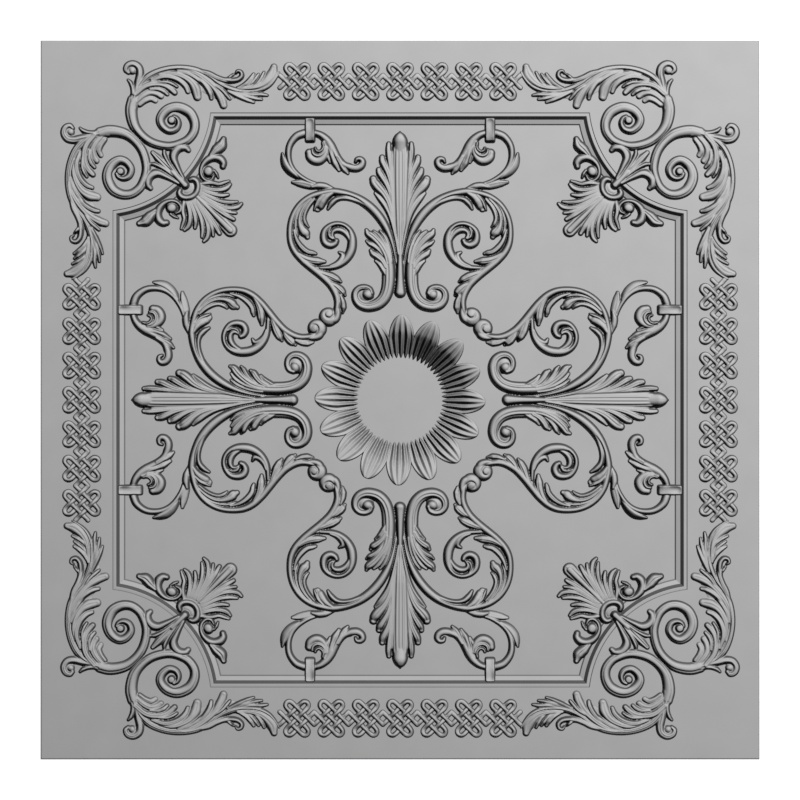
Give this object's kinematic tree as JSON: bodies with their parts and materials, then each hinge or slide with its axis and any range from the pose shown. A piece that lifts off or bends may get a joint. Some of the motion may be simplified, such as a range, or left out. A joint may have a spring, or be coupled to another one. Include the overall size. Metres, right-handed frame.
{
  "type": "carved wall panel",
  "caption": "Square relief-carved wall panel: stepped frame round a sunk field with a central rosette, scrolled acanthus arms, corner shells and a border of woven knots; flat back.",
  "frame": {"origin": "centre of the flat back face", "axes": "+Z out of the carved face, +X and +Y along the square's sides, +Y the picture's upward direction"},
  "size_m": [0.6, 0.6, 0.0335],
  "materials": {
    "grey_primer": "matte"
  },
  "bodies": {
    "root": {"carved_panel": "grey_primer"}
  },
  "joints": []
}
